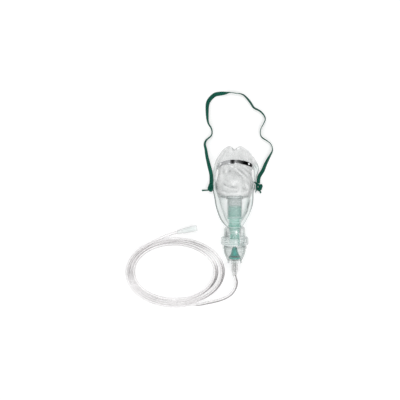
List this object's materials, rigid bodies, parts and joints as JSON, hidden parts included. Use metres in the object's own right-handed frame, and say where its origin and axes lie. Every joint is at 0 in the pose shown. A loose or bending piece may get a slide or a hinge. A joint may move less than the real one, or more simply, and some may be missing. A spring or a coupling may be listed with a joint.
{
  "type": "aerosol mask with jet nebuliser",
  "caption": "Clear face mask with a nose clip and a green elastic head strap, a jet nebuliser plugged into its port, and a coiled gas supply tube with a free funnel connector.",
  "frame": {"origin": "middle of the face opening, on the plane that the face flange rests on", "axes": "+Z out of the face through the dome, +Y from chin to nose, +X to the wearer's side that is on the right when the dome faces the viewer"},
  "size_m": [0.2497, 0.3672, 0.0552],
  "materials": {
    "mask_vinyl": "soft clear vinyl, slightly frosted",
    "clear_plastic": "clear moulded polystyrene",
    "port_plastic": "clear moulded polystyrene, greyer",
    "cap_plastic": "clear moulded polystyrene, very clear",
    "stud_plastic": "milky white moulded plastic",
    "clip_metal": "rolled bright",
    "strap_elastic": "dark green woven elastic",
    "pale_green_plastic": "translucent pale green",
    "dark_green_plastic": "translucent dark green",
    "seal_rubber": "soft translucent grey",
    "soft_vinyl": "soft clear vinyl",
    "tube_vinyl": "clear flexible vinyl"
  },
  "bodies": {
    "hose": {"hose_connector": "soft_vinyl", "tube_lead": "tube_vinyl", "tube_coil": "tube_vinyl", "tube_tail": "tube_vinyl", "supply_connector": "soft_vinyl"},
    "seal": {"cap_seal": "seal_rubber"},
    "bowl": {"bowl": "clear_plastic"},
    "jet": {"jet_cone": "dark_green_plastic"},
    "cap": {"nebuliser_cap": "cap_plastic", "baffle_tube": "pale_green_plastic", "impact_baffle": "pale_green_plastic"},
    "adapter": {"outlet_adapter": "pale_green_plastic"},
    "mask": {"mask_shell": "mask_vinyl", "port_socket": "port_plastic", "nose_clip": "clip_metal", "clip_studs": "stud_plastic", "strap_band": "strap_elastic", "strap_knot_left": "strap_elastic", "strap_knot_right": "strap_elastic"}
  },
  "joints": [
    {"name": "hose_pull", "type": "slide", "parent": "hose", "child": "seal", "axis": [0, 0.9877, 0.1564], "range_m": [0, 0.018]},
    {"name": "bowl_turn", "type": "hinge", "parent": "seal", "child": "bowl", "pos_m": [0, -0.089, 0.02366], "axis": [0, 0.9877, 0.1564], "range_deg": [0, 75]},
    {"name": "jet_lift", "type": "slide", "parent": "bowl", "child": "jet", "axis": [0, 0.9877, 0.1564], "range_m": [0, 0.0015]},
    {"name": "cap_off", "type": "slide", "parent": "seal", "child": "cap", "axis": [0, 0.9877, 0.1564], "range_m": [0, 0.032]},
    {"name": "mask_swivel", "type": "hinge", "parent": "cap", "child": "adapter", "pos_m": [0, -0.0653, 0.02741], "axis": [0, 0.9877, 0.1564], "continuous": true},
    {"name": "mask_pull", "type": "slide", "parent": "adapter", "child": "mask", "axis": [0, 0.9877, 0.1564], "range_m": [0, 0.022]}
  ]
}
